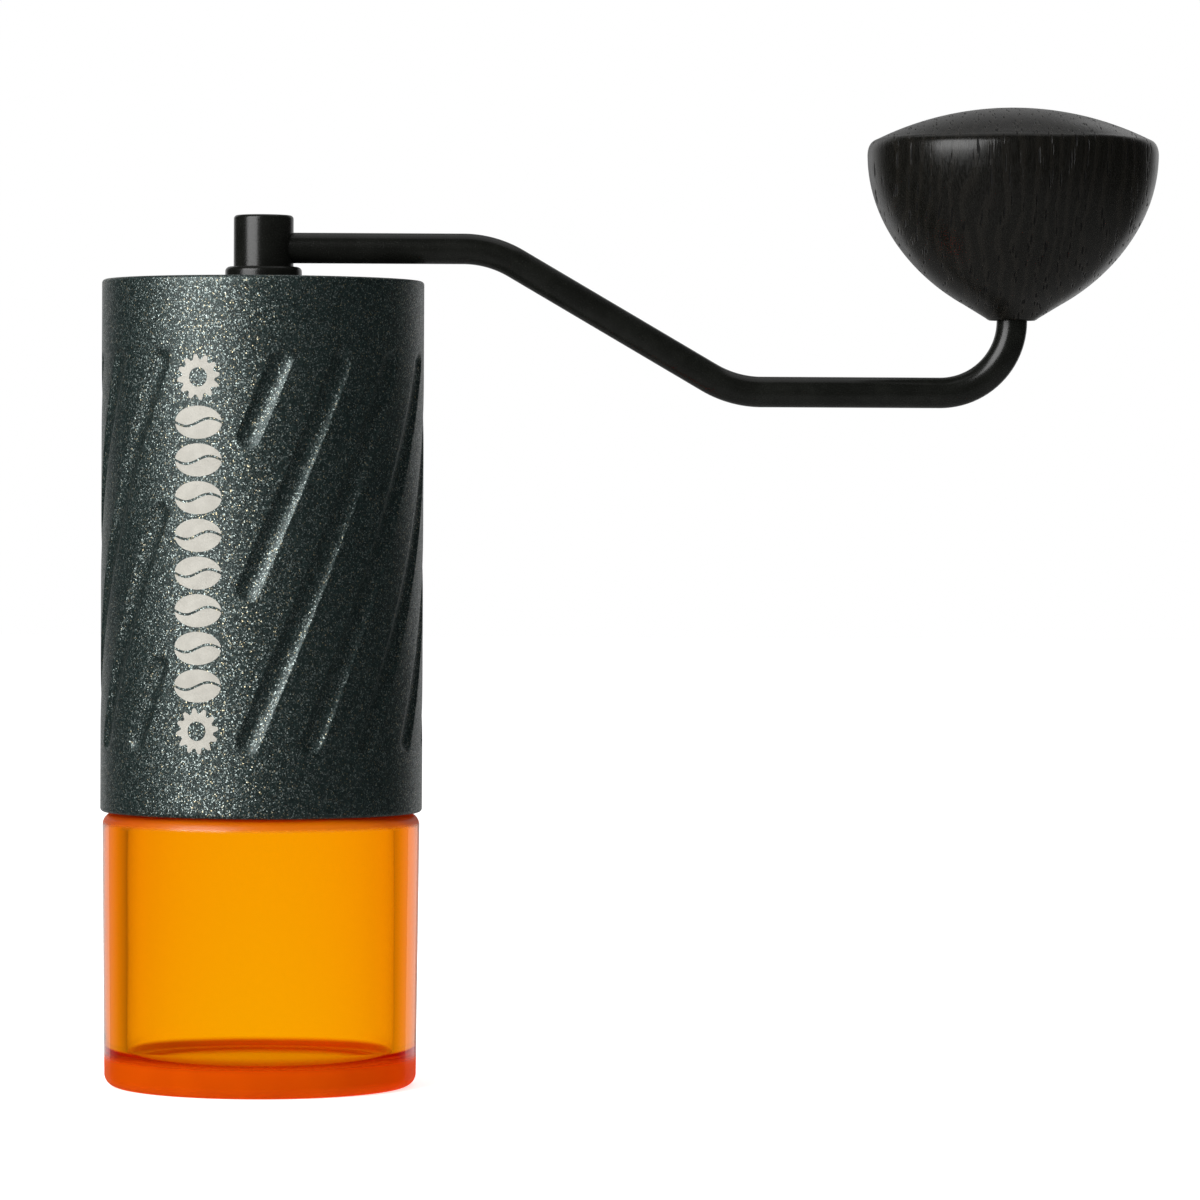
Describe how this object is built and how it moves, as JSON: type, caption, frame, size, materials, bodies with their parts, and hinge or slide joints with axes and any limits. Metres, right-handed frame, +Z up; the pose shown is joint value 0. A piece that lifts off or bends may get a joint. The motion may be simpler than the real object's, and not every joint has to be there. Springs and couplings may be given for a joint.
{
  "type": "hand crank coffee grinder",
  "caption": "Hand crank coffee grinder: grooved dark metal sleeve over conical burrs and a hopper, lift-off lid with bent crank and wooden knob, and a screw-on translucent orange catch jar.",
  "frame": {"origin": "middle of the jar's flat underside, where the grinder stands", "axes": "+Z up along the axle; +X towards the crank knob in its rest position; the blank label panel faces -Y"},
  "size_m": [0.1721, 0.0524, 0.1602],
  "materials": {
    "orange_polymer": "gloss",
    "dark_wood": "satin",
    "black_steel": "satin",
    "black_plastic": "satin",
    "frame_plastic": "matte",
    "liner_aluminium": "satin",
    "stainless": "satin",
    "bearing_steel": "polished",
    "burr_steel": "satin",
    "bush_brass": "satin",
    "silicone": "matte",
    "powder_coat_aluminium": "satin"
  },
  "bodies": {
    "housing": {"outer_sleeve": "powder_coat_aluminium", "hopper_liner": "liner_aluminium", "upper_frame": "frame_plastic", "frame_snap_ring": "stainless", "lower_frame": "frame_plastic", "frame_screws": "stainless", "upper_outer_race": "bearing_steel", "upper_bearing_shields": "stainless", "lower_outer_race": "bearing_steel", "lower_bearing_shields": "stainless", "burr_carrier": "liner_aluminium", "outer_burr": "burr_steel", "burr_snap_ring": "stainless", "jar_collar": "frame_plastic"},
    "axle": {"axle": "stainless", "upper_inner_race": "bearing_steel", "lower_inner_race": "bearing_steel", "axle_spacer": "stainless", "axle_snap_ring": "stainless", "thrust_washer": "stainless", "dial_stop_ring": "stainless"},
    "upper_ball_set": {"upper_balls": "bearing_steel", "upper_ball_cage": "bush_brass"},
    "lower_ball_set": {"lower_balls": "bearing_steel", "lower_ball_cage": "bush_brass"},
    "burr": {"inner_burr": "burr_steel", "detent_plate": "stainless", "burr_spring": "stainless"},
    "dial": {"adjusting_dial": "black_plastic", "detent_balls": "bearing_steel", "detent_springs": "stainless"},
    "lid": {"lid": "black_plastic", "lid_bush": "black_steel", "lid_seal": "silicone"},
    "crank": {"crank_hub": "black_steel", "crank_arm": "black_steel", "arm_set_screw": "black_steel", "hub_washer": "stainless", "hub_snap_ring": "stainless", "knob_snap_ring": "stainless"},
    "knob": {"knob": "dark_wood", "knob_bush": "bush_brass"},
    "jar_seal": {"jar_seal": "silicone"},
    "jar": {"catch_jar": "orange_polymer"}
  },
  "joints": [
    {"name": "lid_lift", "type": "slide", "parent": "housing", "child": "lid", "axis": [0, 0, 1], "range_m": [0, 0.03]},
    {"name": "crank_spin", "type": "hinge", "parent": "lid", "child": "crank", "pos_m": [0, 0, 0.133], "axis": [0, 0, 1], "continuous": true},
    {"name": "knob_spin", "type": "hinge", "parent": "crank", "child": "knob", "pos_m": [0.1222, 0, 0.14], "axis": [0, 0, 1], "continuous": true},
    {"name": "axle_spin", "type": "hinge", "parent": "housing", "child": "axle", "pos_m": [0, 0, 0.1], "axis": [0, 0, 1], "continuous": true},
    {"name": "upper_ball_orbit", "type": "hinge", "parent": "housing", "child": "upper_ball_set", "pos_m": [0, 0, 0.1175], "axis": [0, 0, 1], "continuous": true},
    {"name": "lower_ball_orbit", "type": "hinge", "parent": "housing", "child": "lower_ball_set", "pos_m": [0, 0, 0.0825], "axis": [0, 0, 1], "continuous": true},
    {"name": "burr_travel", "type": "slide", "parent": "axle", "child": "burr", "axis": [0, 0, -1], "range_m": [-0.0002, 0.001], "deforming": ["burr_spring"]},
    {"name": "dial_turn", "type": "hinge", "parent": "burr", "child": "dial", "pos_m": [0, 0, 0.054], "axis": [0, 0, -1], "range_deg": [-144, 720]},
    {"name": "jar_travel", "type": "slide", "parent": "housing", "child": "jar_seal", "axis": [0, 0, -1], "range_m": [0, 0.006]},
    {"name": "jar_turn", "type": "hinge", "parent": "jar_seal", "child": "jar", "pos_m": [0, 0, 0.05], "axis": [0, 0, -1], "range_deg": [0, 720]}
  ],
  "couplings": [
    {"joint": "axle_spin", "follows": "crank_spin", "ratio": 1},
    {"joint": "upper_ball_orbit", "follows": "crank_spin", "ratio": 0.4048},
    {"joint": "lower_ball_orbit", "follows": "crank_spin", "ratio": 0.4048},
    {"joint": "dial_turn", "follows": "burr_travel", "rad_per_m": 12566},
    {"joint": "jar_turn", "follows": "jar_travel", "rad_per_m": 2094.4}
  ]
}
